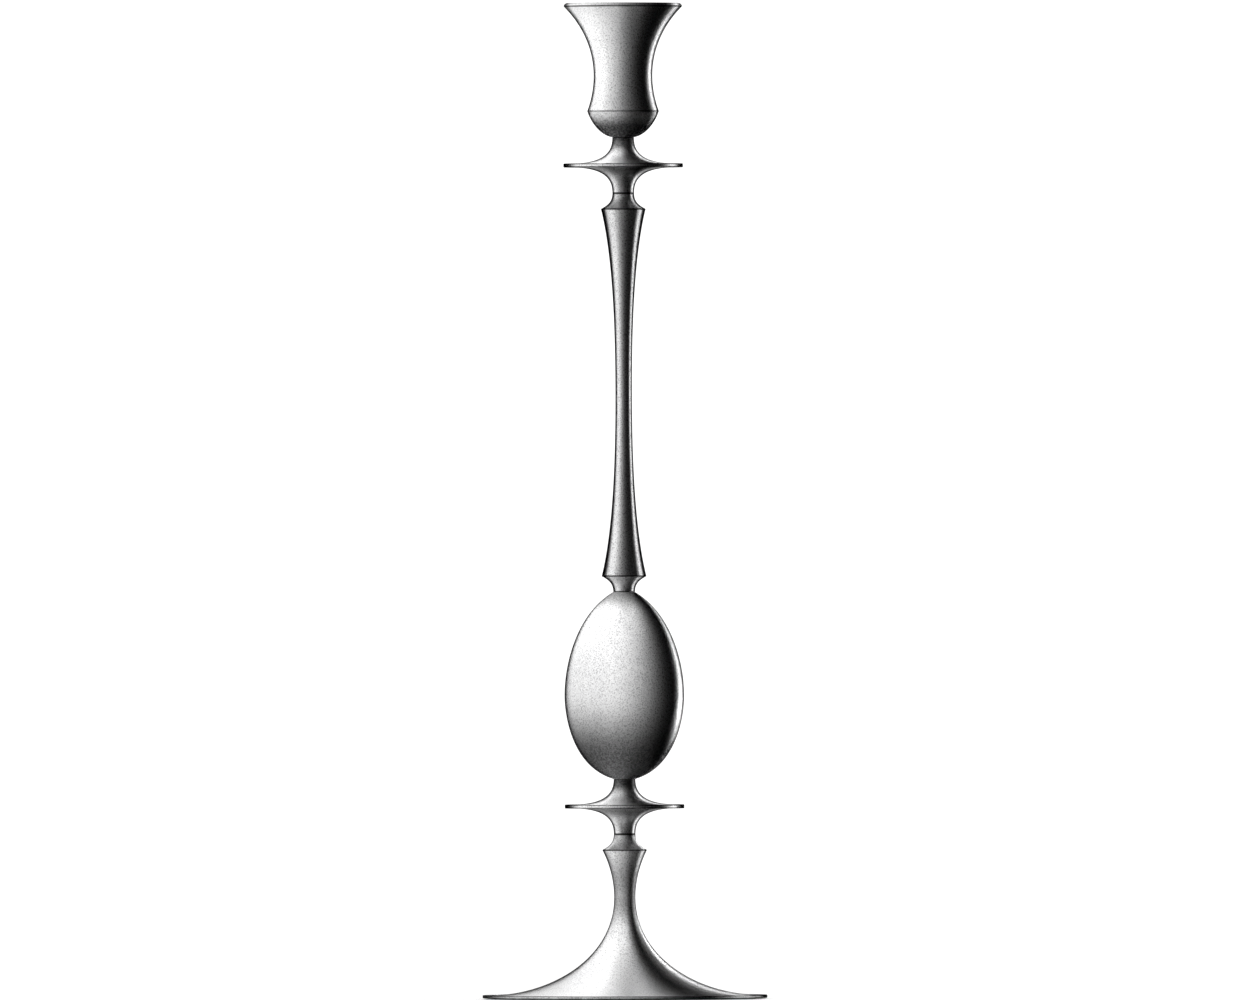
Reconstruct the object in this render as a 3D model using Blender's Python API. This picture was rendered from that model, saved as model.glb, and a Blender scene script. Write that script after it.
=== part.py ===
"""A tall silver-plated candlestick, turned in sections that screw together on threaded studs.

Metres, +Z up. The origin is on the candlestick's axis, at the floor under its felt pad.
Every outline is a list of (radius, height) points that runs down the outer side of its piece.
"""

import math

import bmesh
import bpy

MM = 0.001

# Lengths of the stacked sections, from the floor up
BASE_HEIGHT = 78.0 * MM
LOWER_DISC_LENGTH = 26.1 * MM
EGG_LENGTH = 88.6 * MM
COLUMN_LENGTH = 188.8 * MM
UPPER_DISC_LENGTH = 26.5 * MM
CUP_HEIGHT = 63.6 * MM

# Heights of the joints between them
EGG_FOOT = BASE_HEIGHT + LOWER_DISC_LENGTH
COLUMN_FOOT = EGG_FOOT + EGG_LENGTH
COLUMN_TOP = COLUMN_FOOT + COLUMN_LENGTH
CUP_FOOT = COLUMN_TOP + UPPER_DISC_LENGTH
CUP_TOP = CUP_FOOT + CUP_HEIGHT

# Clearance between pieces that meet, shared equally at the joints of the stack
GAP = 0.3 * MM

# Radii that the sections share where they meet
NECK_RADIUS = 5.13 * MM
COLLAR_RADIUS = 10.6 * MM
COLLAR_DEPTH = 7.4 * MM
THREAD_RADIUS = 2.85 * MM
BORE_RADIUS = THREAD_RADIUS + GAP
BORE_DEPTH = 14.0 * MM
ENGAGEMENT = 9.0 * MM
END_CHAMFER = 0.5 * MM

# Foot
FOOT_RADIUS = 67.4 * MM
FOOT_WAIST_RADIUS = 5.04 * MM
FOOT_WAIST_HEIGHT = 48.2 * MM
FOOT_RIM_TOP = 1.9 * MM
FOOT_RIM_BOTTOM = 0.45 * MM
FOOT_RIM_BEVEL = 0.2 * MM
FOOT_WALL = 2.2 * MM
HOLLOW_TOP_RADIUS = 12.0 * MM
PAD_RADIUS = 62.0 * MM
PAD_THICKNESS = 1.05 * MM

# Nut, washer and their pocket in the ballast
POCKET_RADIUS = 8.5 * MM
POCKET_TOP = 12.0 * MM
WASHER_RADIUS = 6.4 * MM
WASHER_THICKNESS = 1.6 * MM
NUT_FLATS = 10.0 * MM
NUT_HEIGHT = 5.2 * MM
NUT_CHAMFER = 0.6 * MM
ROD_STANDOUT = 1.5 * MM

# Discs
DISC_RADIUS = 28.3 * MM
DISC_RIM_HALF = 0.95 * MM
DISC_RIM_BEVEL = 0.3 * MM
DISC_MIDDLE = 13.15 * MM
DISC_FLARE_LENGTH = 12.9 * MM

# Egg
EGG_RADIUS = 28.32 * MM
EGG_GIRTH = 39.6 * MM
EGG_WALL = 2.0 * MM
EGG_POLE_WALL = 2.6 * MM
CORE_RADIUS = 5.6 * MM
RABBET_HEIGHT = 2.4 * MM
RABBET_DEPTH = 0.9 * MM
RABBET_RADIUS = EGG_RADIUS - RABBET_DEPTH

# Column
WAIST_RADIUS = 3.91 * MM

# Candle cup
LIP_RADIUS = 28.05 * MM
LIP_EDGE_RADIUS = 26.5 * MM
LIP_DEPTH = 1.65 * MM
LIP_SHOULDER_RADIUS = 27.5 * MM
LIP_SHOULDER_DEPTH = 0.65 * MM
BOWL_RADIUS = 16.95 * MM
BOWL_HEIGHT = 12.35 * MM
SOCKET_RADIUS = 11.1 * MM
SOCKET_MOUTH_DEPTH = 5.0 * MM
SOCKET_DEPTH = 35.8 * MM

# Flat facets round a full turn
WIDE = 32
SLIM = 20
HEXAGON = 24
SHARP_ANGLE = math.radians(30)
WELD = 0.001 * MM

SILVER = (0.80, 0.80, 0.79)
BRASS = (0.75, 0.58, 0.32)
STEEL = (0.56, 0.57, 0.58)
IRON = (0.20, 0.20, 0.21)
FELT = (0.03, 0.03, 0.035)


def bezier(start, start_handle, end_handle, end, count):
    """Points along a cubic curve, both ends included."""
    points = []
    for i in range(count + 1):
        t = i / count
        weights = ((1 - t) ** 3, 3 * t * (1 - t) ** 2, 3 * t * t * (1 - t), t**3)
        corners = (start, start_handle, end_handle, end)
        radius = sum(w * c[0] for w, c in zip(weights, corners))
        height = sum(w * c[1] for w, c in zip(weights, corners))
        points.append((radius, height))
    return points


def flipped(points, middle):
    """The outline turned upside down about a height, still running downwards."""
    return [(radius, 2 * middle - height) for radius, height in reversed(points)]


def inset(points, distance):
    """The outline moved into its piece, square to its surface."""
    moved = []
    for i, (radius, height) in enumerate(points):
        before = points[max(i - 1, 0)]
        after = points[min(i + 1, len(points) - 1)]
        along_radius = after[0] - before[0]
        along_height = after[1] - before[1]
        length = math.hypot(along_radius, along_height)
        moved.append(
            (
                radius + distance * along_height / length,
                height - distance * along_radius / length,
            )
        )
    return moved


def turned(name, outline, segments, closed=False):
    """A piece turned about the Z axis. A closed outline leaves a hole along the axis."""
    work = bmesh.new()
    points = [work.verts.new((radius, 0.0, height)) for radius, height in outline]
    pairs = list(zip(points, points[1:]))
    if closed:
        pairs.append((points[-1], points[0]))
    edges = [work.edges.new(pair) for pair in pairs]
    bmesh.ops.spin(
        work,
        geom=points + edges,
        cent=(0, 0, 0),
        axis=(0, 0, 1),
        angle=math.tau,
        steps=segments,
        use_merge=True,
    )
    bmesh.ops.remove_doubles(work, verts=work.verts, dist=WELD)
    bmesh.ops.recalc_face_normals(work, faces=work.faces)
    mesh = bpy.data.meshes.new(name)
    work.to_mesh(mesh)
    work.free()
    mesh.shade_smooth()
    mesh.set_sharp_from_angle(angle=SHARP_ANGLE)
    piece = bpy.data.objects.new(name, mesh)
    bpy.context.scene.collection.objects.link(piece)
    return piece


def finish(piece, colour, roughness, metallic=1.0):
    """Gives a piece its own material."""
    material = bpy.data.materials.new(piece.name)
    material.use_nodes = True
    shader = material.node_tree.nodes["Principled BSDF"]
    shader.inputs["Base Color"].default_value = (*colour, 1.0)
    shader.inputs["Roughness"].default_value = roughness
    shader.inputs["Metallic"].default_value = metallic
    piece.data.materials.append(material)
    return piece


def silver(piece):
    return finish(piece, SILVER, roughness=0.28)


def collar_neck(end):
    """From a section's top face down its neck to the sharp edge of the collar."""
    return bezier(
        (NECK_RADIUS, end),
        (NECK_RADIUS, end - 4.2 * MM),
        (7.67 * MM, end - 5.9 * MM),
        (COLLAR_RADIUS, end - COLLAR_DEPTH),
        5,
    )


def foot_flare():
    """From the foot's waist out to its thin rim."""
    return bezier(
        (FOOT_WAIST_RADIUS, FOOT_WAIST_HEIGHT),
        (FOOT_WAIST_RADIUS, FOOT_WAIST_HEIGHT - 31.5 * MM),
        (40.0 * MM, 0.4 * MM),
        (FOOT_RADIUS - FOOT_RIM_BEVEL, FOOT_RIM_TOP),
        10,
    )


def foot_hollow():
    """The hollow under the foot, one wall thickness inside its flare."""
    floor = PAD_THICKNESS + GAP
    inner = inset(foot_flare(), FOOT_WALL)
    return [p for p in inner if p[0] > HOLLOW_TOP_RADIUS and p[1] > floor]


def make_base():
    """Trumpet foot with a turned collar, bored through for the tie rod and hollow below."""
    top = BASE_HEIGHT - GAP / 2
    neck = collar_neck(top)
    taper = bezier(
        neck[-1],
        (7.38 * MM, 64.4 * MM),
        (FOOT_WAIST_RADIUS, 56.3 * MM),
        (FOOT_WAIST_RADIUS, FOOT_WAIST_HEIGHT),
        5,
    )
    hollow = foot_hollow()
    floor = PAD_THICKNESS + GAP
    recess = PAD_RADIUS + GAP
    outline = [(BORE_RADIUS, top)]
    outline += neck + taper[1:] + foot_flare()[1:]
    outline += [
        (FOOT_RADIUS, FOOT_RIM_TOP - FOOT_RIM_BEVEL),
        (FOOT_RADIUS, FOOT_RIM_BOTTOM + FOOT_RIM_BEVEL),
        (FOOT_RADIUS - FOOT_RIM_BEVEL, FOOT_RIM_BOTTOM),
        (recess, FOOT_RIM_BOTTOM),
        (recess, floor),
        (hollow[-1][0], floor),
    ]
    outline += reversed(hollow)
    outline += [(BORE_RADIUS, hollow[0][1])]
    silver(turned("base", outline, WIDE, closed=True))


def make_base_weight():
    """Iron ballast that fills the hollow, with a pocket for the washer and the nut."""
    shell = inset(foot_hollow(), GAP)
    bottom = PAD_THICKNESS + GAP
    outline = [(BORE_RADIUS, shell[0][1])] + shell
    outline += [
        (shell[-1][0], bottom),
        (POCKET_RADIUS, bottom),
        (POCKET_RADIUS, POCKET_TOP),
        (BORE_RADIUS, POCKET_TOP),
    ]
    finish(turned("base_weight", outline, WIDE, closed=True), IRON, roughness=0.75)


def make_base_pad():
    """Felt disc in the recess under the foot, standing a little proud of the rim."""
    outline = [
        (0.0, PAD_THICKNESS),
        (PAD_RADIUS, PAD_THICKNESS),
        (PAD_RADIUS, 0.0),
        (0.0, 0.0),
    ]
    finish(turned("base_pad", outline, WIDE), FELT, roughness=0.95, metallic=0.0)


def washer_bottom():
    return POCKET_TOP - GAP - WASHER_THICKNESS


def make_base_washer():
    bottom = washer_bottom()
    outline = [
        (BORE_RADIUS, bottom + WASHER_THICKNESS),
        (WASHER_RADIUS, bottom + WASHER_THICKNESS),
        (WASHER_RADIUS, bottom),
        (BORE_RADIUS, bottom),
    ]
    finish(turned("base_washer", outline, SLIM, closed=True), STEEL, roughness=0.4)


def make_base_nut():
    """Hexagon nut: a chamfered ring whose side is pulled in to six flats."""
    top = washer_bottom() - GAP
    bottom = top - NUT_HEIGHT
    corner = NUT_FLATS / math.sqrt(3)
    outline = [
        (BORE_RADIUS, top),
        (corner - NUT_CHAMFER, top),
        (corner, top - NUT_CHAMFER),
        (corner, bottom + NUT_CHAMFER),
        (corner - NUT_CHAMFER, bottom),
        (BORE_RADIUS, bottom),
    ]
    nut = turned("base_nut", outline, HEXAGON, closed=True)
    for vertex in nut.data.vertices:
        radius = math.hypot(vertex.co.x, vertex.co.y)
        from_flat = math.atan2(vertex.co.y, vertex.co.x) % (math.pi / 3) - math.pi / 6
        limit = NUT_FLATS / 2 / math.cos(from_flat)
        if radius > limit:
            vertex.co.x *= limit / radius
            vertex.co.y *= limit / radius
    finish(nut, STEEL, roughness=0.4)


def rod_bottom():
    return washer_bottom() - GAP - NUT_HEIGHT - ROD_STANDOUT


def make_stud(name, bottom, top):
    """A threaded rod with chamfered ends."""
    outline = [
        (0.0, top),
        (THREAD_RADIUS - END_CHAMFER, top),
        (THREAD_RADIUS, top - END_CHAMFER),
        (THREAD_RADIUS, bottom + END_CHAMFER),
        (THREAD_RADIUS - END_CHAMFER, bottom),
        (0.0, bottom),
    ]
    finish(turned(name, outline, SLIM), BRASS, roughness=0.35)


def make_disc(name, foot, length):
    """A thin disc that flares out of a bored neck on each side."""
    middle = foot + DISC_MIDDLE
    bottom = foot + GAP / 2
    top = foot + length - GAP / 2
    flare = bezier(
        (NECK_RADIUS, middle + DISC_FLARE_LENGTH),
        (NECK_RADIUS, middle + 5.85 * MM),
        (9.6 * MM, middle + 0.4 * MM),
        (DISC_RADIUS - DISC_RIM_BEVEL, middle + DISC_RIM_HALF),
        7,
    )
    inside_top = [p for p in flare if p[1] < top]
    under = flipped(flare, middle)
    inside_bottom = [p for p in under if p[1] > bottom]
    outline = [(BORE_RADIUS, top), (NECK_RADIUS, top)]
    outline += inside_top
    outline += [
        (DISC_RADIUS, middle + DISC_RIM_HALF - DISC_RIM_BEVEL),
        (DISC_RADIUS, middle - DISC_RIM_HALF + DISC_RIM_BEVEL),
    ]
    outline += inside_bottom
    outline += [(NECK_RADIUS, bottom), (BORE_RADIUS, bottom)]
    silver(turned(name, outline, WIDE, closed=True))


def egg_upper_outline():
    girth = EGG_FOOT + EGG_GIRTH
    top = COLUMN_FOOT - GAP / 2
    return bezier(
        (NECK_RADIUS, top),
        (22.2 * MM, COLUMN_FOOT - 10.1 * MM),
        (EGG_RADIUS, girth + 15.7 * MM),
        (EGG_RADIUS, girth),
        9,
    )


def egg_lower_outline():
    girth = EGG_FOOT + EGG_GIRTH
    bottom = EGG_FOOT + GAP / 2
    return bezier(
        (EGG_RADIUS, girth),
        (EGG_RADIUS, girth - 10.8 * MM),
        (24.25 * MM, EGG_FOOT + 5.7 * MM),
        (NECK_RADIUS, bottom),
        8,
    )


def make_egg_upper_shell():
    """Upper half of the hollow egg. Its skirt fits over the lower half's lip."""
    girth = EGG_FOOT + EGG_GIRTH
    top = COLUMN_FOOT - GAP / 2
    seat = top - EGG_POLE_WALL
    skirt_radius = RABBET_RADIUS + GAP
    outer = [p for p in egg_upper_outline() if p[1] > girth + GAP]
    step = girth + RABBET_HEIGHT + GAP
    inner = [p for p in inset(egg_upper_outline(), EGG_WALL) if step < p[1] < seat]
    outline = [(BORE_RADIUS, top)] + outer
    outline += [
        (EGG_RADIUS, girth + GAP),
        (skirt_radius, girth + GAP),
        (skirt_radius, step),
        (EGG_RADIUS - EGG_WALL, step),
    ]
    outline += reversed(inner)
    outline += [(CORE_RADIUS + GAP, seat), (BORE_RADIUS, seat)]
    silver(turned("egg_upper_shell", outline, WIDE, closed=True))


def make_egg_lower_shell():
    """Lower half of the hollow egg, with a lip that locates the upper half."""
    girth = EGG_FOOT + EGG_GIRTH
    bottom = EGG_FOOT + GAP / 2
    seat = bottom + EGG_POLE_WALL
    outer = egg_lower_outline()
    inner = [p for p in inset(outer, EGG_WALL) if p[1] > seat]
    outline = [
        (EGG_RADIUS - EGG_WALL, girth + RABBET_HEIGHT),
        (RABBET_RADIUS, girth + RABBET_HEIGHT),
        (RABBET_RADIUS, girth),
    ]
    outline += outer
    outline += [(BORE_RADIUS, bottom), (BORE_RADIUS, seat), (CORE_RADIUS + GAP, seat)]
    outline += reversed(inner)
    silver(turned("egg_lower_shell", outline, WIDE, closed=True))


def core_bottom():
    return EGG_FOOT + GAP / 2 + EGG_POLE_WALL + GAP


def core_top():
    return COLUMN_FOOT - GAP / 2 - EGG_POLE_WALL - GAP


def make_egg_core():
    """Bar between the egg's poles, tapped at both ends."""
    top = core_top()
    bottom = core_bottom()
    outline = [
        (0.0, top - BORE_DEPTH),
        (BORE_RADIUS, top - BORE_DEPTH),
        (BORE_RADIUS, top),
        (CORE_RADIUS - END_CHAMFER, top),
        (CORE_RADIUS, top - END_CHAMFER),
        (CORE_RADIUS, bottom + END_CHAMFER),
        (CORE_RADIUS - END_CHAMFER, bottom),
        (BORE_RADIUS, bottom),
        (BORE_RADIUS, bottom + BORE_DEPTH),
        (0.0, bottom + BORE_DEPTH),
    ]
    finish(turned("egg_core", outline, SLIM), BRASS, roughness=0.35)


def make_column():
    """Waisted shaft between two sharp-edged collars, tapped at both ends."""
    top = COLUMN_TOP - GAP / 2
    bottom = COLUMN_FOOT + GAP / 2
    middle = (top + bottom) / 2
    neck = collar_neck(top)
    collar = neck[-1][1]
    half_shaft = bezier(
        neck[-1],
        (4.75 * MM, collar - 23.8 * MM),
        (WAIST_RADIUS, middle + 27.0 * MM),
        (WAIST_RADIUS, middle),
        9,
    )
    upper = neck + half_shaft[1:]
    lower = flipped(upper, middle)
    outline = [
        (0.0, top - BORE_DEPTH),
        (BORE_RADIUS, top - BORE_DEPTH),
        (BORE_RADIUS, top),
    ]
    outline += upper + lower[1:]
    outline += [
        (BORE_RADIUS, bottom),
        (BORE_RADIUS, bottom + BORE_DEPTH),
        (0.0, bottom + BORE_DEPTH),
    ]
    silver(turned("column", outline, SLIM))


def make_candle_cup():
    """Flared cup over a round bowl, with a dished top round a blind candle socket."""
    bottom = CUP_FOOT + GAP / 2
    bowl_top = CUP_FOOT + BOWL_HEIGHT
    flare = bezier(
        (LIP_RADIUS, CUP_TOP - LIP_DEPTH),
        (14.75 * MM, CUP_TOP - 14.9 * MM),
        (10.26 * MM, CUP_TOP - 33.0 * MM),
        (BOWL_RADIUS, bowl_top),
        9,
    )
    bowl = bezier(
        (BOWL_RADIUS, bowl_top),
        (14.93 * MM, CUP_FOOT + 6.2 * MM),
        (10.04 * MM, CUP_FOOT + 0.8 * MM),
        (NECK_RADIUS, bottom),
        6,
    )
    outline = [
        (0.0, CUP_TOP - SOCKET_DEPTH),
        (SOCKET_RADIUS, CUP_TOP - SOCKET_DEPTH),
        (SOCKET_RADIUS, CUP_TOP - SOCKET_MOUTH_DEPTH),
        (LIP_EDGE_RADIUS, CUP_TOP),
        (LIP_SHOULDER_RADIUS, CUP_TOP - LIP_SHOULDER_DEPTH),
    ]
    outline += flare + bowl[1:]
    outline += [
        (BORE_RADIUS, bottom),
        (BORE_RADIUS, bottom + BORE_DEPTH),
        (0.0, bottom + BORE_DEPTH),
    ]
    silver(turned("candle_cup", outline, WIDE))


def clear_scene():
    for piece in list(bpy.data.objects):
        bpy.data.objects.remove(piece, do_unlink=True)


def make_candlestick():
    make_base()
    make_base_weight()
    make_base_washer()
    make_base_nut()
    make_base_pad()
    make_stud("tie_rod", rod_bottom(), core_bottom() + ENGAGEMENT)
    make_disc("lower_disc", BASE_HEIGHT, LOWER_DISC_LENGTH)
    make_egg_lower_shell()
    make_egg_upper_shell()
    make_egg_core()
    make_stud("middle_stud", core_top() - ENGAGEMENT, COLUMN_FOOT + ENGAGEMENT)
    make_column()
    make_stud("top_stud", COLUMN_TOP - ENGAGEMENT, CUP_FOOT + ENGAGEMENT)
    make_disc("upper_disc", COLUMN_TOP, UPPER_DISC_LENGTH)
    make_candle_cup()


clear_scene()
make_candlestick()
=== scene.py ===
import math

import bpy
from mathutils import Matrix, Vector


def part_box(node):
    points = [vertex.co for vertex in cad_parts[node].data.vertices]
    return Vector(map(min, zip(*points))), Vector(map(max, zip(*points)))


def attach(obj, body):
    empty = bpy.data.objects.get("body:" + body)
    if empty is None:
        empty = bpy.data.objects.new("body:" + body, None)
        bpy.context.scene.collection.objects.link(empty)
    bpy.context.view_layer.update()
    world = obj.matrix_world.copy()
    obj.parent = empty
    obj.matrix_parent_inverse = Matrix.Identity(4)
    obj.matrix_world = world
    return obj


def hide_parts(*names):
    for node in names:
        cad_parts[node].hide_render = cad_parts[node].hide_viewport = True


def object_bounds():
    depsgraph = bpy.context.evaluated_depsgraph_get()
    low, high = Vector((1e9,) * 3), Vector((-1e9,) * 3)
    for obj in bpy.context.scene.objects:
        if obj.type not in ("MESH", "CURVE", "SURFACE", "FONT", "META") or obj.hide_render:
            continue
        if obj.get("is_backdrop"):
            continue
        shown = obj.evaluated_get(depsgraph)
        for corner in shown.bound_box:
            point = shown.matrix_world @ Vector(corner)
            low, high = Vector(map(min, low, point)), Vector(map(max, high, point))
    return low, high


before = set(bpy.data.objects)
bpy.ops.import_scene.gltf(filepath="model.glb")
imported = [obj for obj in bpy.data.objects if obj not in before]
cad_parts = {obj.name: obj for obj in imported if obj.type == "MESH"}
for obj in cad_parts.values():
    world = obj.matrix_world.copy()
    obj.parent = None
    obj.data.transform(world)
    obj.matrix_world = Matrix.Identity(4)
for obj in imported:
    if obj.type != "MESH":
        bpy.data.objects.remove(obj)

# Looks of a tall silver-plated candlestick, turned in sections that screw together.
# Metres, +Z up, origin on the axis at the floor. Every outline is a list of (radius, height)
# points that runs down the outer side of its piece.

MM = 0.001
CAD_LOW, CAD_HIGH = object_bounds()

# Radii that the sections share where they meet, and sizes that no node's box gives
NECK_RADIUS = 5.13 * MM
COLLAR_RADIUS = 10.6 * MM
COLLAR_DEPTH = 7.4 * MM
THREAD_RADIUS = 2.85 * MM
THREAD_DEPTH = 0.55 * MM
THREAD_PITCH = 1.0 * MM
BORE_RADIUS = 3.15 * MM
BORE_DEPTH = 14.0 * MM
JOINT_GAP = 0.3 * MM
PART_LINE = 0.05 * MM
MEETING = (JOINT_GAP - PART_LINE) / 2
FOOT_WAIST_RADIUS = 5.04 * MM
FOOT_WAIST_HEIGHT = 48.2 * MM
FOOT_RIM_TOP = 1.9 * MM
FOOT_WALL = 2.2 * MM
HOLLOW_TOP_RADIUS = 12.0 * MM
DISC_RIM_HALF = 0.95 * MM
DISC_MIDDLE = 13.125 * MM
DISC_FLARE_LENGTH = 12.9 * MM
EGG_GIRTH = 39.575 * MM
EGG_WALL = 2.0 * MM
WAIST_RADIUS = 3.91 * MM
LIP_EDGE_RADIUS = 26.5 * MM
LIP_DEPTH = 1.65 * MM
BOWL_RADIUS = 16.95 * MM
BOWL_HEIGHT = 12.325 * MM
SOCKET_RADIUS = 11.1 * MM
SOCKET_MOUTH_DEPTH = 5.0 * MM
SOCKET_DEPTH = 35.8 * MM

WIDE = 256
SLIM = 160
THREAD_FACETS = 48
FILLET = 0.16 * MM
LINE_REACH = 0.36 * MM


# ---------------------------------------------------------------- outlines

def bezier(start, start_handle, end_handle, end, count=48):
    """Points along a cubic curve, both ends included."""
    points = []
    for i in range(count + 1):
        t = i / count
        weights = ((1 - t) ** 3, 3 * t * (1 - t) ** 2, 3 * t * t * (1 - t), t**3)
        corners = (start, start_handle, end_handle, end)
        points.append(tuple(sum(w * c[k] for w, c in zip(weights, corners)) for k in (0, 1)))
    return points


def straight(start, end, step=0.8 * MM):
    """Points along a straight stretch, both ends included."""
    count = max(1, round(math.dist(start, end) / step))
    return [
        (start[0] + (end[0] - start[0]) * i / count, start[1] + (end[1] - start[1]) * i / count)
        for i in range(count + 1)
    ]


def joined(*stretches):
    """Stretches end to end, without the points that they share."""
    outline = []
    for stretch in stretches:
        for point in stretch:
            if not outline or math.dist(point, outline[-1]) > 1e-7:
                outline.append(point)
    return outline


def flipped(points, middle):
    """The outline turned upside down about a height, still running downwards."""
    return [(radius, 2 * middle - height) for radius, height in reversed(points)]


def inset(points, distance):
    """The outline moved into its piece, square to its surface."""
    moved = []
    for i, (radius, height) in enumerate(points):
        before = points[max(i - 1, 0)]
        after = points[min(i + 1, len(points) - 1)]
        along = (after[0] - before[0], after[1] - before[1])
        length = math.hypot(*along)
        moved.append((radius + distance * along[1] / length, height - distance * along[0] / length))
    return moved


def turn_at(before, here, after):
    """How far the outline turns at a point, in radians, positive on an outside edge."""
    first = math.atan2(here[1] - before[1], here[0] - before[0])
    second = math.atan2(after[1] - here[1], after[0] - here[0])
    return -((second - first + math.pi) % math.tau - math.pi)


def softened(outline, closed, fillet=FILLET, least=math.radians(14)):
    """The outline with its corners rounded, and how far each point sits on an edge or in a crease.

    Returns the points and a list of shares: 1 on a sharp outside edge, -1 in a sharp crease."""
    count = len(outline)
    points, shares = [], []
    for i, here in enumerate(outline):
        if not closed and i in (0, count - 1):
            points.append(here)
            shares.append(0.0)
            continue
        before, after = outline[i - 1], outline[(i + 1) % count]
        turn = turn_at(before, here, after)
        if abs(turn) < least:
            points.append(here)
            shares.append(0.0)
            continue
        back = min(fillet, 0.45 * math.dist(before, here)) / math.dist(before, here)
        on = min(fillet, 0.45 * math.dist(here, after)) / math.dist(here, after)
        start = tuple(h + (b - h) * back for h, b in zip(here, before))
        end = tuple(h + (a - h) * on for h, a in zip(here, after))
        share = max(-1.0, min(1.0, turn / math.radians(70)))
        for t in (0.0, 0.25, 0.5, 0.75, 1.0):
            weights = ((1 - t) ** 2, 2 * t * (1 - t), t * t)
            corners = (start, here, end)
            points.append(tuple(sum(w * c[k] for w, c in zip(weights, corners)) for k in (0, 1)))
            shares.append(share)
    return points, shares


def refined(points, shares, closed, near=0.8 * MM, step=0.13 * MM):
    """The outline with more points beside its corners, so that the marks there stay narrow."""
    count = len(points)
    corners = [point for point, share in zip(points, shares) if share]
    new_points, new_shares = [], []
    for i in range(count if closed else count - 1):
        here, after = points[i], points[(i + 1) % count]
        new_points.append(here)
        new_shares.append(shares[i])
        length = math.dist(here, after)
        pieces = math.ceil(length / step)
        for k in range(1, pieces):
            point = tuple(h + (a - h) * k / pieces for h, a in zip(here, after))
            if any(math.dist(point, corner) < near for corner in corners):
                new_points.append(point)
                new_shares.append(0.0)
    if not closed:
        new_points.append(points[-1])
        new_shares.append(shares[-1])
    return new_points, new_shares


def spread(points, shares, reach, closed):
    """The strongest share near each point, fading with distance along the outline."""
    count = len(points)
    places = [0.0]
    for a, b in zip(points, points[1:]):
        places.append(places[-1] + math.dist(a, b))
    whole = places[-1] + math.dist(points[-1], points[0])
    marked = [(places[i], shares[i]) for i in range(count) if shares[i]]
    result = []
    for place in places:
        edge = crease = 0.0
        for there, share in marked:
            apart = abs(place - there)
            if closed:
                apart = min(apart, whole - apart)
            near = abs(share) * math.exp(-((apart / reach) ** 2))
            if share > 0:
                edge = max(edge, near)
            else:
                crease = max(crease, near)
        result.append((edge, crease))
    return result


# ---------------------------------------------------------------- meshes

def add_piece(name, vertices, faces):
    mesh = bpy.data.meshes.new(name)
    mesh.from_pydata(vertices, [], faces)
    mesh.validate()
    mesh.shade_smooth()
    piece = bpy.data.objects.new(name, mesh)
    bpy.context.scene.collection.objects.link(piece)
    return piece


def ring_faces(rows, segments, closed):
    """Quads between neighbouring rings of vertices."""
    faces = []
    for row in range(rows if closed else rows - 1):
        here, below = row * segments, (row + 1) % rows * segments
        for i in range(segments):
            j = (i + 1) % segments
            faces.append((here + i, below + i, below + j, here + j))
    return faces


def turned(name, outline, segments, closed=False, fillet=FILLET, painted_shade=None):
    """A piece turned about the Z axis, with its corners rounded and its edges and creases marked.

    An outline that isn't closed starts and ends on the axis. The last argument gives painted shade at a
    radius and height:
    how far the silver's colour is darkened, and its roughness raised, to stand in for shade there."""
    points, shares = refined(*softened(outline, closed, fillet), closed)
    marks = spread(points, shares, LINE_REACH, closed)
    # The third mark is painted shade: how far the colour is darkened where shade falls.
    marks = [(*mark, painted_shade(*point) if painted_shade else 0.0) for mark, point in zip(marks, points)]
    poles = []
    if not closed:
        poles = [points[0][1], points[-1][1]]
        points, marks = points[1:-1], marks[1:-1]
    vertices = []
    for radius, height in points:
        for i in range(segments):
            angle = math.tau * i / segments
            vertices.append((radius * math.cos(angle), radius * math.sin(angle), height))
    faces = ring_faces(len(points), segments, closed)
    if poles:
        top, bottom = len(vertices), len(vertices) + 1
        vertices += [(0.0, 0.0, poles[0]), (0.0, 0.0, poles[1])]
        last = (len(points) - 1) * segments
        for i in range(segments):
            j = (i + 1) % segments
            faces.append((top, i, j))
            faces.append((bottom, last + j, last + i))
    piece = add_piece(name, vertices, faces)
    # The edge and crease marks carry painted dark lines, and the third mark carries painted shade.
    for k, label in enumerate(("edge", "crease", "painted_shade")):
        values = [mark[k] for mark in marks for _ in range(segments)] + [0.0] * len(poles)
        layer = piece.data.attributes.new(label, "FLOAT", "POINT")
        layer.data.foreach_set("value", values)
    return piece


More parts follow.
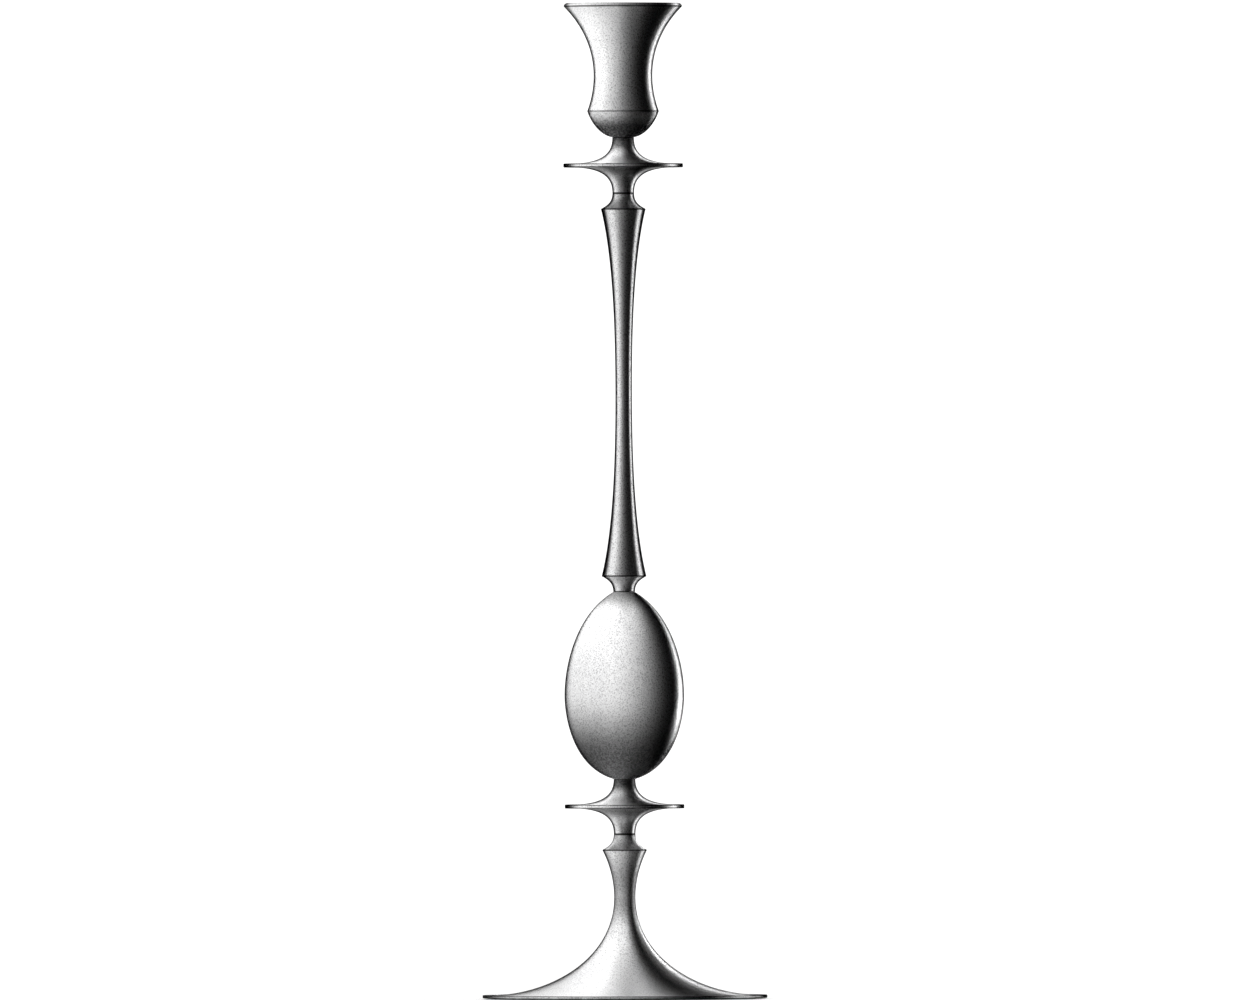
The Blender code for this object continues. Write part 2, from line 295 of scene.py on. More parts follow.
def stud(name, node, threaded):
    """A rod with right-handed threads over the given stretches of its height, and chamfered ends."""
    low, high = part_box(node)
    bottom, top = low.z, high.z
    chamfer = 0.9 * MM
    inner = THREAD_RADIUS - THREAD_DEPTH
    steps = round((top - bottom) / (THREAD_PITCH / 8))
    heights = []
    for i in range(steps + 1):
        height = top - (top - bottom) * i / steps
        close = any(a - THREAD_PITCH < height < b + THREAD_PITCH for a, b in threaded)
        if close or i % 16 == 0 or i == steps:
            heights.append(height)
    vertices = []
    for height in heights:
        cut = any(a <= height <= b for a, b in threaded)
        room = max(0.0, chamfer - min(top - height, height - bottom)) / chamfer
        for i in range(THREAD_FACETS):
            angle = math.tau * i / THREAD_FACETS
            phase = (height / THREAD_PITCH - i / THREAD_FACETS) % 1.0
            crest = min(1.0, 1.35 * (1 - abs(2 * phase - 1)))
            radius = inner + THREAD_DEPTH * crest if cut else THREAD_RADIUS - 0.06 * MM
            radius = min(radius, THREAD_RADIUS - room * THREAD_DEPTH * 1.2)
            vertices.append((radius * math.cos(angle), radius * math.sin(angle), height))
    rows = len(heights)
    faces = ring_faces(rows, THREAD_FACETS, closed=False)
    cap, end = len(vertices), len(vertices) + 1
    vertices += [(0.0, 0.0, top), (0.0, 0.0, bottom)]
    last = (rows - 1) * THREAD_FACETS
    for i in range(THREAD_FACETS):
        j = (i + 1) % THREAD_FACETS
        faces.append((cap, i, j))
        faces.append((end, last + j, last + i))
    return add_piece(name, vertices, faces)


def fade(value, start, end):
    """0 at the start and 1 at the end, with soft ends."""
    share = max(0.0, min(1.0, (value - start) / (end - start)))
    return share * share * (3 - 2 * share)


def ends(node, lower=True, upper=True):
    """Heights of a section's two end faces, drawn out to meet their neighbours in a fine part line."""
    low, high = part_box(node)
    return low.z - MEETING * lower, high.z + MEETING * upper


def place(piece, body, nodes, slot, material):
    """Puts a piece on its body in place of its CAD nodes, with its material."""
    piece.data.materials.append(material)
    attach(piece, body)
    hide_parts(*nodes)


# ---------------------------------------------------------------- pieces

def collar_neck(end):
    """From a section's top face down its neck to the sharp edge of the collar."""
    return bezier(
        (NECK_RADIUS, end),
        (NECK_RADIUS, end - 4.2 * MM),
        (7.67 * MM, end - 5.9 * MM),
        (COLLAR_RADIUS, end - COLLAR_DEPTH),
        24,
    )


def foot():
    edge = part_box("base")[1].x
    bottom, top = ends("base", lower=False)
    neck = collar_neck(top)
    taper = bezier(
        neck[-1],
        (7.38 * MM, 64.4 * MM),
        (FOOT_WAIST_RADIUS, 56.3 * MM),
        (FOOT_WAIST_RADIUS, FOOT_WAIST_HEIGHT),
        32,
    )
    flare = bezier(
        (FOOT_WAIST_RADIUS, FOOT_WAIST_HEIGHT),
        (FOOT_WAIST_RADIUS, FOOT_WAIST_HEIGHT - 31.5 * MM),
        (40.0 * MM, 0.4 * MM),
        (edge - 0.1 * MM, FOOT_RIM_TOP),
        96,
    )
    pad_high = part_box("base_pad")[1]
    ceiling = pad_high.z + JOINT_GAP
    recess = pad_high.x + JOINT_GAP
    hollow = [p for p in inset(flare, FOOT_WALL) if p[0] > HOLLOW_TOP_RADIUS and p[1] > ceiling]
    outline = joined(
        [(BORE_RADIUS, top)],
        neck,
        taper,
        flare,
        [(edge, FOOT_RIM_TOP - 0.15 * MM), (edge, bottom + 0.15 * MM), (edge - 0.15 * MM, bottom)],
        straight((recess, bottom), (recess, ceiling)),
        straight((recess, ceiling), (hollow[-1][0], ceiling), 2 * MM),
        reversed(hollow),
        [(BORE_RADIUS, hollow[0][1])],
    )

    # Painted shade around the foot's narrow waist, below its collar: the colour darker where shade falls.
    def painted_shade(radius, height):
        below = fade(height, FOOT_WAIST_HEIGHT - 14 * MM, FOOT_WAIST_HEIGHT - 2 * MM)
        return 0.4 * below * fade(height, top - COLLAR_DEPTH, FOOT_WAIST_HEIGHT + 8 * MM)

    return turned("foot", outline, WIDE, closed=True, painted_shade=painted_shade)


def felt_pad():
    low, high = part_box("base_pad")
    radius = high.x
    outline = joined(
        [(0.0, high.z)],
        straight((2 * MM, high.z), (radius, high.z), 2 * MM),
        [(radius, low.z)],
        straight((radius, low.z), (2 * MM, low.z), 2 * MM),
        [(0.0, low.z)],
    )
    return turned("felt_pad", outline, WIDE, fillet=0.3 * MM)


def disc(name, node):
    """A thin disc that flares out of a bored neck on each side."""
    bottom, top = ends(node)
    middle = bottom + DISC_MIDDLE
    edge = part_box(node)[1].x
    flare = bezier(
        (NECK_RADIUS, middle + DISC_FLARE_LENGTH),
        (NECK_RADIUS, middle + 5.85 * MM),
        (9.6 * MM, middle + 0.4 * MM),
        (edge - 0.2 * MM, middle + DISC_RIM_HALF),
        64,
    )
    outline = joined(
        [(BORE_RADIUS, top), (NECK_RADIUS, top)],
        [p for p in flare if p[1] < top],
        [(edge, middle + DISC_RIM_HALF - 0.2 * MM), (edge, middle - DISC_RIM_HALF + 0.2 * MM)],
        [p for p in flipped(flare, middle) if p[1] > bottom],
        [(NECK_RADIUS, bottom)],
        straight((BORE_RADIUS, bottom), (BORE_RADIUS, top), 3 * MM)[:-1],
    )

    # Painted shade: the underside darker towards the rim, and the top of the upper neck dark under the piece
    # above.
    def painted_shade(radius, height):
        if height < middle - DISC_RIM_HALF:
            return 0.6 * fade(height, bottom + 7 * MM, middle - 2 * MM)
        return 0.85 * fade(height, top - 8.5 * MM, top - 2.2 * MM)

    return turned(name, outline, WIDE, closed=True, painted_shade=painted_shade)


def egg():
    """The whole hollow egg, its two halves burnished together at the girth."""
    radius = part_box("egg_lower_shell")[1].x
    bottom = ends("egg_lower_shell")[0]
    top = ends("egg_upper_shell")[1]
    girth = bottom + EGG_GIRTH
    upper = bezier(
        (NECK_RADIUS, top),
        (22.2 * MM, top - 9.95 * MM),
        (radius, girth + 15.7 * MM),
        (radius, girth),
        80,
    )
    lower = bezier(
        (radius, girth),
        (radius, girth - 10.8 * MM),
        (24.25 * MM, bottom + 5.55 * MM),
        (NECK_RADIUS, bottom),
        72,
    )
    pole_wall = 2.6 * MM
    inner = [p for p in inset(joined(upper, lower), EGG_WALL) if bottom + pole_wall < p[1] < top - pole_wall]
    outline = joined(
        [(BORE_RADIUS, top)],
        upper,
        lower,
        [(BORE_RADIUS, bottom), (BORE_RADIUS, bottom + pole_wall)],
        reversed(inner[::3]),
        [(BORE_RADIUS, top - pole_wall)],
    )

    # Painted shade: the lower half darker towards the bottom, and the top darker towards the neck.
    def painted_shade(radius, height):
        below = fade(height, girth - 2 * MM, bottom + 10 * MM)
        return max(0.84 * below, 0.6 * fade(height, top - 10 * MM, top))

    return turned("egg", outline, WIDE, closed=True, painted_shade=painted_shade)


def column():
    bottom, top = ends("column")
    middle = (bottom + top) / 2
    neck = collar_neck(top)
    collar = neck[-1][1]
    half_shaft = bezier(
        neck[-1],
        (4.75 * MM, collar - 23.8 * MM),
        (WAIST_RADIUS, middle + 27.0 * MM),
        (WAIST_RADIUS, middle),
        96,
    )
    upper = joined(neck, half_shaft)
    outline = joined(
        [(0.0, top - BORE_DEPTH), (BORE_RADIUS, top - BORE_DEPTH), (BORE_RADIUS, top)],
        upper,
        flipped(upper, middle),
        [(BORE_RADIUS, bottom), (BORE_RADIUS, bottom + BORE_DEPTH), (0.0, bottom + BORE_DEPTH)],
    )
    return turned("shaft", outline, SLIM)


def cup():
    """Flared cup over a round bowl, with a dished top round a blind candle socket."""
    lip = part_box("candle_cup")[1].x
    bottom, top = ends("candle_cup", upper=False)
    bowl_top = bottom + BOWL_HEIGHT
    lip_edge = bezier(
        (LIP_EDGE_RADIUS, top),
        (27.4 * MM, top - 0.3 * MM),
        (lip, top - 0.9 * MM),
        (lip, top - LIP_DEPTH),
        8,
    )
    flare = bezier(
        (lip, top - LIP_DEPTH),
        (14.75 * MM, top - 14.9 * MM),
        (10.26 * MM, top - 33.0 * MM),
        (BOWL_RADIUS, bowl_top),
        96,
    )
    bowl = bezier(
        (BOWL_RADIUS, bowl_top),
        (14.93 * MM, bottom + 6.05 * MM),
        (10.04 * MM, bottom + 0.65 * MM),
        (NECK_RADIUS, bottom),
        48,
    )
    mouth = top - SOCKET_MOUTH_DEPTH
    floor = top - SOCKET_DEPTH
    outline = joined(
        [(0.0, floor)],
        straight((2 * MM, floor), (SOCKET_RADIUS, floor), 2 * MM),
        straight((SOCKET_RADIUS, floor), (SOCKET_RADIUS, mouth), 2 * MM),
        straight((SOCKET_RADIUS, mouth), (LIP_EDGE_RADIUS, top)),
        lip_edge,
        flare,
        bowl,
        [(BORE_RADIUS, bottom), (BORE_RADIUS, bottom + BORE_DEPTH), (0.0, bottom + BORE_DEPTH)],
    )

    # Painted shade over the bowl, darker towards its bottom.
    def painted_shade(radius, height):
        if height < bowl_top - 0.1 * MM:
            return 0.25 + 0.72 * fade(height, bowl_top, bottom + 4 * MM)
        return 0.0

    return turned("cup", outline, WIDE, painted_shade=painted_shade)


# ---------------------------------------------------------------- materials

class Nodes:
    """Short ways to add and join nodes in one node tree."""

    def __init__(self, tree):
        self.tree = tree

    def add(self, kind, **settings):
        node = self.tree.nodes.new(kind)
        for name, value in settings.items():
            setattr(node, name, value)
        return node

    def feed(self, socket, value):
        if hasattr(value, "links"):
            self.tree.links.new(value, socket)
        else:
            socket.default_value = value

    def math(self, operation, *values):
        node = self.add("ShaderNodeMath", operation=operation)
        for socket, value in zip(node.inputs, values):
            self.feed(socket, value)
        return node.outputs[0]

    def ranged(self, value, low, high, to_low=0.0, to_high=1.0):
        """The value carried from one range to another, held at its ends."""
        node = self.add("ShaderNodeMapRange", interpolation_type="SMOOTHSTEP")
        for socket, given in zip(node.inputs, (value, low, high, to_low, to_high)):
            self.feed(socket, given)
        return node.outputs[0]

    def ramp(self, value, stops, scale=1.0):
        """A grey level through (place, level) stops. Their places from -1 to 1 span the value's 0 to 1."""
        node = self.add("ShaderNodeValToRGB")
        elements = node.color_ramp.elements
        while len(elements) < len(stops):
            elements.new(1.0)
        for element, (place, level) in zip(elements, stops):
            element.position = (place + 1) / 2
            element.color = (level * scale, level * scale, level * scale, 1.0)
        self.feed(node.inputs[0], value)
        return node.outputs[0]

    def noise(self, vector, scale, detail=2.0, roughness=0.5):
        node = self.add("ShaderNodeTexNoise")
        self.feed(node.inputs["Vector"], vector)
        node.inputs["Scale"].default_value = scale
        node.inputs["Detail"].default_value = detail
        node.inputs["Roughness"].default_value = roughness
        return node.outputs["Fac"]

    def mixed(self, factor, first, second):
        node = self.add("ShaderNodeMix", data_type="RGBA")
        self.feed(node.inputs["Factor"], factor)
        for socket, colour in ((node.inputs["A"], first), (node.inputs["B"], second)):
            self.feed(socket, colour if hasattr(colour, "links") else (*colour, 1.0))
        return node.outputs["Result"]

    def bump(self, height, distance, strength, normal=None):
        node = self.add("ShaderNodeBump")
        self.feed(node.inputs["Height"], height)
        node.inputs["Distance"].default_value = distance
        node.inputs["Strength"].default_value = strength
        if normal is not None:
            self.feed(node.inputs["Normal"], normal)
        return node.outputs["Normal"]


def new_material(name):
    material = bpy.data.materials.new(name)
    material.use_nodes = True
    nodes = Nodes(material.node_tree)
    shader = material.node_tree.nodes["Principled BSDF"]
    position = nodes.add("ShaderNodeTexCoord").outputs["Object"]
    return material, nodes, shader, position


def round_position(nodes, position):
    """The same value all the way round the axis: radius and height, for marks left by turning."""
    parts = nodes.add("ShaderNodeSeparateXYZ")
    nodes.feed(parts.inputs[0], position)
    squares = [nodes.math("MULTIPLY", part, part) for part in parts.outputs[:2]]
    flat = nodes.math("ADD", *squares)
    ring = nodes.add("ShaderNodeCombineXYZ")
    nodes.feed(ring.inputs[0], nodes.math("SQRT", flat))
    nodes.feed(ring.inputs[2], parts.outputs[2])
    return ring.outputs[0]


def marked(nodes, label):
    node = nodes.add("ShaderNodeAttribute", attribute_name=label)
    return node.outputs["Fac"]


def silver_plate(name):
    """Satin silver with the long glints of lathe-turned metal: a fine grain and faint turning lines.
    Its colour carries painted shade too: a painted dark line along each turned edge and in each crease, and
    painted shade where the pieces mark it."""
    material, nodes, shader, position = new_material(name)
    ring = round_position(nodes, position)
    fine = nodes.noise(position, 1800.0, detail=1.5, roughness=0.6)
    medium = nodes.noise(position, 900.0, detail=2.0)
    broad = nodes.noise(position, 60.0, detail=3.0)
    lines = nodes.noise(ring, 2200.0, detail=2.0, roughness=0.7)
    # Noise that makes the painted dark lines uneven in strength.
    line_noise = nodes.noise(position, 130.0, detail=4.0, roughness=0.6)
    uneven_line = nodes.ranged(line_noise, 0.2, 0.6, 0.75, 1.0)
    # Painted shade in each crease and a painted dark reflection along each outside edge, as thin near-black
    # lines.
    crease = nodes.ranged(nodes.math("MULTIPLY", marked(nodes, "crease"), uneven_line), 0.05, 0.9)
    edge = nodes.ranged(nodes.math("MULTIPLY", marked(nodes, "edge"), uneven_line), 0.1, 0.8)
    # Painted shade: how far the colour is darkened towards near black, and the roughness raised, on the
    # marked undersides and necks.
    painted_shade = nodes.math("MULTIPLY", marked(nodes, "painted_shade"), nodes.ranged(medium, 0.3, 0.7, 0.85, 1.0))
    clean = nodes.mixed(nodes.ranged(broad, 0.35, 0.7), (0.95, 0.95, 0.95), (0.90, 0.90, 0.905))
    speckled = nodes.mixed(nodes.ranged(fine, 0.46, 0.68, 0.0, 0.65), clean, (0.30, 0.30, 0.305))
    # Painted shade mixed into the colour.
    with_painted_shade = nodes.mixed(painted_shade, speckled, (0.02, 0.02, 0.021))
    # Both painted dark lines together: they darken the colour to near black and raise the roughness.
    line = nodes.math("MAXIMUM", nodes.math("MULTIPLY", crease, 0.9), nodes.math("MULTIPLY", edge, 0.92))
    nodes.feed(shader.inputs["Base Color"], nodes.mixed(line, with_painted_shade, (0.03, 0.03, 0.03)))
    shader.inputs["Metallic"].default_value = 1.0
    shader.inputs["Specular Tint"].default_value = (0.05, 0.05, 0.05, 1.0)
    rough = nodes.ranged(broad, 0.3, 0.7, 0.31, 0.35)
    rough = nodes.math("ADD", rough, nodes.ranged(medium, 0.3, 0.7, -0.03, 0.04))
    rough = nodes.math("ADD", rough, nodes.math("MULTIPLY", line, 0.2))
    nodes.feed(shader.inputs["Roughness"], nodes.math("ADD", rough, nodes.math("MULTIPLY", painted_shade, 0.3)))
    shader.inputs["Anisotropic"].default_value = 1.0
    shader.inputs["Anisotropic Rotation"].default_value = 0.25
    around = nodes.add("ShaderNodeTangent", direction_type="RADIAL", axis="Z")
    nodes.feed(shader.inputs["Tangent"], around.outputs[0])
    surface = nodes.bump(lines, 0.006 * MM, 0.5)
    surface = nodes.bump(medium, 0.05 * MM, 0.12, surface)
    nodes.feed(shader.inputs["Normal"], nodes.bump(fine, 0.08 * MM, 0.9, surface))
    return material


def plain_metal(name, light, dark, roughness, grain_scale, grain_depth):
    """Unplated metal of the inner pieces: mottled, with a turned or cast grain."""
    material, nodes, shader, position = new_material(name)
    ring = round_position(nodes, position)
    mottle = nodes.noise(position, 220.0, detail=4.0, roughness=0.6)
    grain = nodes.noise(position, grain_scale, detail=3.0, roughness=0.6)
    lines = nodes.noise(ring, 3000.0, detail=1.0)
    nodes.feed(shader.inputs["Base Color"], nodes.mixed(nodes.ranged(mottle, 0.3, 0.7), light, dark))
    shader.inputs["Metallic"].default_value = 1.0
    rough = nodes.ranged(mottle, 0.25, 0.75, roughness - 0.08, roughness + 0.1)
    nodes.feed(shader.inputs["Roughness"], rough)
    surface = nodes.bump(lines, 0.01 * MM, 0.4)
    nodes.feed(shader.inputs["Normal"], nodes.bump(grain, grain_depth, 0.6, surface))
    return material


def felt_cloth(name):
    """Dense charcoal felt with a fuzz of crossing fibres."""
    material, nodes, shader, position = new_material(name)
    squashed = nodes.add("ShaderNodeMapping")
    nodes.feed(squashed.inputs["Vector"], position)
    squashed.inputs["Rotation"].default_value = (0.3, 0.2, 0.7)
    squashed.inputs["Scale"].default_value = (1.0, 0.18, 1.0)
    fibre = nodes.noise(squashed.outputs[0], 3200.0, detail=3.0, roughness=0.65)
    clump = nodes.noise(position, 500.0, detail=4.0, roughness=0.6)
    tufts = nodes.math("MULTIPLY", nodes.math("ADD", fibre, clump), 0.5)
    colour = nodes.mixed(nodes.ranged(tufts, 0.38, 0.62), (0.012, 0.013, 0.014), (0.05, 0.052, 0.055))
    nodes.feed(shader.inputs["Base Color"], colour)
    nodes.feed(shader.inputs["Roughness"], nodes.ranged(clump, 0.3, 0.7, 0.88, 1.0))
    shader.inputs["Sheen Weight"].default_value = 0.35
    shader.inputs["Sheen Roughness"].default_value = 0.5
    surface = nodes.bump(clump, 0.25 * MM, 0.6)
    nodes.feed(shader.inputs["Normal"], nodes.bump(fibre, 0.12 * MM, 0.8, surface))
    return material


# ---------------------------------------------------------------- studio

# What each part of the candlestick reflects across a round section, from its left side (-1) to its
# right side (1), as greys to the eye: where its surface is upright, and where it faces up and down
COLUMN_LIGHT = {
    "upright": (
        (-0.87, 0.0), (-0.78, 0.8), (-0.7, 0.97), (-0.5, 0.95), (-0.3, 0.7), (-0.1, 0.43), (0.1, 0.25),
        (0.25, 0.15), (0.58, 0.12), (0.65, 0.3), (0.72, 1.0), (0.82, 1.05), (0.87, 0.0),
    ),
}
DISC_LIGHT = {
    "upright": (
        (-0.88, 0.0), (-0.82, 0.9), (-0.75, 1.05), (-0.6, 1.0), (-0.3, 0.55), (-0.1, 0.42), (0.1, 0.25),
        (0.4, 0.1), (0.64, 0.12), (0.74, 0.8), (0.80, 1.1), (0.85, 1.1), (0.90, 0.0),
    ),
    "up": (
        (-0.91, 0.0), (-0.85, 1.0), (-0.8, 1.1), (-0.6, 1.3), (-0.4, 1.6), (-0.2, 1.5), (0.0, 1.0),
        (0.2, 0.45), (0.35, 0.15), (0.66, 0.1), (0.72, 0.3), (0.80, 1.5), (0.86, 1.5), (0.91, 0.0),
    ),
    "down": (
        (-0.91, 0.0), (-0.85, 1.0), (-0.7, 0.95), (-0.5, 0.65), (-0.3, 0.35), (0.0, 0.2), (0.2, 0.1),
        (0.4, 0.06), (0.64, 0.08), (0.72, 0.7), (0.80, 1.3), (0.86, 1.3), (0.91, 0.0),
    ),
}
FOOT_LIGHT = {
    "upright": (
        (-0.92, 0.0), (-0.88, 0.42), (-0.8, 0.52), (-0.6, 0.78), (-0.4, 0.82), (-0.2, 0.66), (0.0, 0.5),
        (0.2, 0.32), (0.3, 0.22), (0.4, 0.13), (0.62, 0.1), (0.73, 0.8), (0.8, 1.05), (0.86, 1.05),
        (0.9, 0.0),
    ),
    "up": (
        (-0.965, 0.0), (-0.95, 1.4), (-0.88, 1.3), (-0.7, 1.12), (-0.25, 1.15), (0.0, 1.2), (0.1, 1.1),
        (0.2, 0.9), (0.3, 0.62), (0.4, 0.3), (0.5, 0.1), (0.6, 0.04), (0.86, 0.02), (0.905, 1.2),
        (0.925, 2.6), (0.945, 2.9), (0.957, 0.0),
    ),
    "down": (
        (-0.93, 0.0), (-0.88, 0.95), (-0.7, 1.05), (-0.55, 1.0), (-0.4, 0.75), (-0.2, 0.55),
        (0.0, 0.35), (0.2, 0.15), (0.4, 0.05), (0.68, 0.04), (0.78, 0.7), (0.84, 1.3), (0.89, 1.3),
        (0.92, 0.0),
    ),
}
CUP_LIGHT = {
    "upright": (
        (-0.948, 0.0), (-0.928, 1.3), (-0.88, 1.2), (-0.8, 1.08), (-0.6, 1.03), (-0.5, 0.91),
        (-0.2, 0.7), (0.0, 0.49), (0.2, 0.32), (0.4, 0.17), (0.6, 0.08), (0.77, 0.08), (0.86, 0.8),
        (0.90, 1.6), (0.925, 1.8), (0.942, 0.0),
    ),
    "down": (
        (-0.96, 0.0), (-0.94, 1.5), (-0.85, 1.2), (-0.6, 1.12), (-0.4, 1.0), (-0.2, 0.82), (0.0, 0.6),
        (0.2, 0.38), (0.4, 0.18), (0.6, 0.07), (0.86, 0.07), (0.905, 0.9), (0.92, 2.0), (0.935, 2.0),
        (0.95, 0.0),
    ),
}
EGG_LIGHT = {
    "upright": (
        (-0.97, 0.0), (-0.955, 1.2), (-0.9, 1.05), (-0.8, 0.98), (-0.3, 0.98), (-0.1, 0.92), (0.1, 0.8),
        (0.3, 0.6), (0.5, 0.35), (0.7, 0.12), (0.90, 0.04), (0.925, 0.9), (0.94, 1.9), (0.955, 2.1),
        (0.966, 0.0),
    ),
    "up": (
        (-0.972, 0.0), (-0.957, 2.0), (-0.93, 1.5), (-0.8, 1.2), (-0.2, 1.15), (0.0, 1.07), (0.2, 0.94),
        (0.4, 0.72), (0.5, 0.54), (0.6, 0.34), (0.7, 0.18), (0.8, 0.08), (0.925, 0.05), (0.945, 1.6),
        (0.957, 2.1), (0.968, 0.0),
    ),
    "down": (
        (-0.978, 0.0), (-0.96, 0.4), (-0.8, 0.42), (-0.6, 0.45), (-0.2, 0.42), (0.0, 0.36), (0.2, 0.27),
        (0.4, 0.2), (0.6, 0.1), (0.7, 0.05), (0.87, 0.04), (0.91, 2.0), (0.93, 4.0), (0.95, 4.5),
        (0.965, 0.0),
    ),
}
# Shares of the light by how far the surface faces down (-1) or up (1)
LIGHT_UP = ((-1.0, 0.55), (-0.6, 0.88), (-0.2, 0.97), (0.1, 1.0), (0.75, 1.15), (0.93, 1.7), (1.0, 1.2))
BRIGHTEST = 1.15
EYE_GAMMA = 2.2
# Where a surface starts to take the light for facing up or down, and where it has all of it
TILT_START, TILT_END = 0.1, 0.38
# Shares above 1 are scaled down inside their ramp and back up in the light's strength
RAMP_SCALE = 3
FLOOR_LIGHT = 1.25


def open_world():
    """White to the camera and to the floor, black to the metal, which reflects the domes instead."""
    world = bpy.data.worlds.new("studio")
    bpy.context.scene.world = world
    world.use_nodes = True
    world.cycles.sampling_method = "NONE"
    nodes = Nodes(world.node_tree)
    white = world.node_tree.nodes["Background"]
    white.inputs["Color"].default_value = (1.0, 1.0, 1.0, 1.0)
    seen = nodes.math("SUBTRACT", 1.0, nodes.add("ShaderNodeLightPath").outputs["Is Glossy Ray"])
    nodes.feed(white.inputs["Strength"], nodes.math("MULTIPLY", seen, FLOOR_LIGHT))


def ball(name, radius, rows=48, segments=96):
    """A hollow ball, open by a pinhole at each pole."""
    vertices = []
    for row in range(rows + 1):
        rise = math.pi * (row / rows - 0.5) * 0.999
        for i in range(segments):
            turn = math.tau * i / segments
            flat = radius * math.cos(rise)
            vertices.append((flat * math.cos(turn), flat * math.sin(turn), radius * math.sin(rise)))
    return add_piece(name, vertices, ring_faces(rows + 1, segments, closed=False))


def dome_light(name, light):
    """The glow of a dome, by the way that a surface must face to show each place of it."""
    material, nodes, shader, position = new_material(name)
    material.node_tree.nodes.remove(shader)
    material.cycles.emission_sampling = "NONE"
    outwards = nodes.add("ShaderNodeVectorMath", operation="NORMALIZE")
    nodes.feed(outwards.inputs[0], position)
    turned_back = nodes.add("ShaderNodeVectorMath", operation="SUBTRACT")
    nodes.feed(turned_back.inputs[0], outwards.outputs[0])
    turned_back.inputs[1].default_value = (0.0, 1.0, 0.0)
    facing = nodes.add("ShaderNodeVectorMath", operation="NORMALIZE")
    nodes.feed(facing.inputs[0], turned_back.outputs[0])
    parts = nodes.add("ShaderNodeSeparateXYZ")
    nodes.feed(parts.inputs[0], facing.outputs[0])
    across, towards, up = parts.outputs
    angle = nodes.math("ARCTAN2", across, nodes.math("MULTIPLY", towards, -1.0))
    side = nodes.math("MULTIPLY_ADD", nodes.math("SINE", angle), 0.5, 0.5)
    grey = nodes.ramp(side, light["upright"])
    for way, sign in (("up", 1), ("down", -1)):
        if way in light:
            tilted = nodes.ranged(up, sign * TILT_START, sign * TILT_END)
            grey = nodes.mixed(tilted, grey, nodes.ramp(side, light[way]))
    rise = nodes.math("MULTIPLY_ADD", up, 0.5, 0.5)
    by_rise = nodes.ramp(rise, LIGHT_UP, 1 / RAMP_SCALE)
    glow = nodes.add("ShaderNodeEmission")
    nodes.feed(glow.inputs["Color"], nodes.math("MULTIPLY", nodes.math("POWER", grey, EYE_GAMMA), by_rise))
    glow.inputs["Strength"].default_value = RAMP_SCALE * BRIGHTEST
    through = nodes.add("ShaderNodeAddShader")
    nodes.feed(through.inputs[0], glow.outputs[0])
    nodes.feed(through.inputs[1], nodes.add("ShaderNodeBsdfTransparent").outputs[0])
    nodes.feed(material.node_tree.nodes["Material Output"].inputs["Surface"], through.outputs[0])
    return material


def dome(name, radius, pieces, light, spared=False):
    """A far soft surround that only the given pieces reflect, or with `spared` only the others.

    Its lights meet behind the candlestick, so that each runs as one band along every turned
    outline. Each dome has a radius of its own, as domes at one radius would hide each other."""
    shell = ball(name, radius)
    shell.location.z = (CAD_LOW.z + CAD_HIGH.z) / 2
    shell.data.materials.append(dome_light(name, light))
    for kind in ("camera", "diffuse", "transmission", "volume_scatter", "shadow"):
        setattr(shell, "visible_" + kind, False)
    linked = bpy.data.collections.new(name + "_pieces")
    for piece in pieces:
        linked.objects.link(piece)
    for entry in linked.collection_objects:
        entry.light_linking.link_state = "EXCLUDE" if spared else "INCLUDE"
    shell.light_linking.receiver_collection = linked
    shell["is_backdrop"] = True


def pale_floor():
    """Plain pale floor, which the metal doesn't reflect."""
    half = 4.0
    corners = [(-half, -half, 0.0), (half, -half, 0.0), (half, half, 0.0), (-half, half, 0.0)]
    floor = add_piece("floor", corners, [(0, 1, 2, 3)])
    material, nodes, shader, position = new_material("pale_floor")
    shade = nodes.noise(position, 6.0, detail=3.0)
    nodes.feed(shader.inputs["Base Color"], nodes.mixed(shade, (0.86, 0.86, 0.86), (0.88, 0.88, 0.88)))
    shader.inputs["Roughness"].default_value = 1.0
    shader.inputs["Specular IOR Level"].default_value = 0.0
    floor.data.materials.append(material)
    floor.visible_glossy = False
    floor.visible_shadow = False
    floor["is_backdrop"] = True


def camera():
    """Level side view from far off, so that the sides run parallel, with the candlestick filling the height.

    The picture leans by a hair and sits a hair off centre, and so does the camera."""
    height = CAD_HIGH.z - CAD_LOW.z
    lean = math.radians(0.127)
    aside, middle = 0.0011 * height, 0.5009 * height
    picture_width = 1.004 * height * 1250 / 1000
    data = bpy.data.cameras.new("camera")
    data.sensor_width = 36.0
    data.lens = 1300.0
    distance = picture_width * data.lens / data.sensor_width
    data.clip_start = 1.0
    data.clip_end = distance * 1.5
    seat = bpy.data.objects.new("camera", data)
    bpy.context.scene.collection.objects.link(seat)
    seat.location = (aside, -distance, CAD_LOW.z + middle)
    seat.rotation_euler = (math.radians(90), lean, 0)
    bpy.context.scene.camera = seat


# ---------------------------------------------------------------- making it

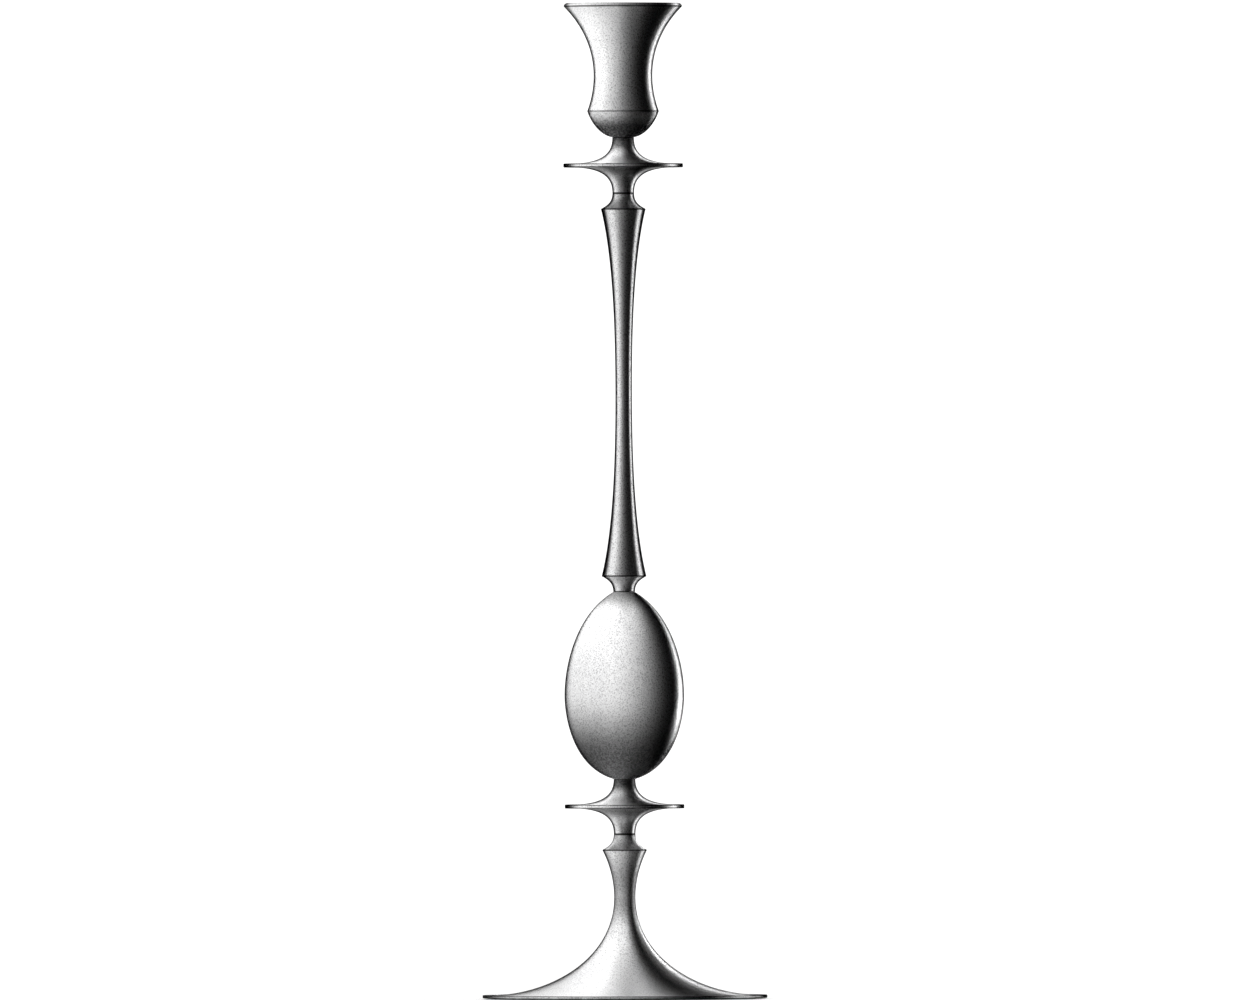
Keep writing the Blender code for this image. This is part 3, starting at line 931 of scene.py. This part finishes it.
plate = silver_plate("silver_plate")
brass = plain_metal("inner_brass", (0.78, 0.60, 0.33), (0.62, 0.45, 0.22), 0.32, 900.0, 0.02 * MM)
steel = plain_metal("fixing_steel", (0.62, 0.63, 0.64), (0.42, 0.43, 0.44), 0.34, 1200.0, 0.02 * MM)
iron = plain_metal("ballast_iron", (0.16, 0.16, 0.165), (0.08, 0.075, 0.07), 0.7, 700.0, 0.15 * MM)
felt = felt_cloth("felt")

turned_foot = foot()
lower_disc = disc("lower_turned_disc", "lower_disc")
hollow_egg = egg()
upper_disc = disc("upper_turned_disc", "upper_disc")
candle_cup = cup()
place(turned_foot, "foot", ["base"], "silver_plate", plate)
place(felt_pad(), "foot", ["base_pad"], "felt", felt)
place(lower_disc, "lower_disc", ["lower_disc"], "silver_plate", plate)
place(hollow_egg, "stem", ["egg_lower_shell", "egg_upper_shell"], "silver_plate", plate)
place(column(), "stem", ["column"], "silver_plate", plate)
place(upper_disc, "upper_disc", ["upper_disc"], "silver_plate", plate)
place(candle_cup, "cup", ["candle_cup"], "silver_plate", plate)

rod_low, rod_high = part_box("tie_rod")
nut_thread = (rod_low.z, rod_low.z + 16 * MM)
egg_thread = (rod_high.z - 24 * MM, rod_high.z)
tie_rod = stud("threaded_tie_rod", "tie_rod", [nut_thread, egg_thread])
place(tie_rod, "foot", ["tie_rod"], "inner_brass", brass)
for node in ("middle_stud", "top_stud"):
    low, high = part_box(node)
    place(stud("threaded_" + node, node, [(low.z, high.z)]), "stem", [node], "inner_brass", brass)

for node, material in (
    ("base_weight", iron),
    ("base_washer", steel),
    ("base_nut", steel),
    ("egg_core", brass),
):
    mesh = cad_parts[node].data
    mesh.materials.clear()
    mesh.materials.append(material)

open_world()
wide_pieces = [turned_foot, lower_disc, upper_disc, hollow_egg, candle_cup]
dome("foot_surround", 6.0, [turned_foot], FOOT_LIGHT)
dome("disc_surround", 6.5, [lower_disc, upper_disc], DISC_LIGHT)
dome("egg_surround", 7.0, [hollow_egg], EGG_LIGHT)
dome("cup_surround", 7.5, [candle_cup], CUP_LIGHT)
dome("other_surround", 8.0, wide_pieces, COLUMN_LIGHT, spared=True)
pale_floor()
camera()
view = bpy.context.scene.view_settings
view.view_transform = "Standard"
view.look = "None"

low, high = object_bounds()
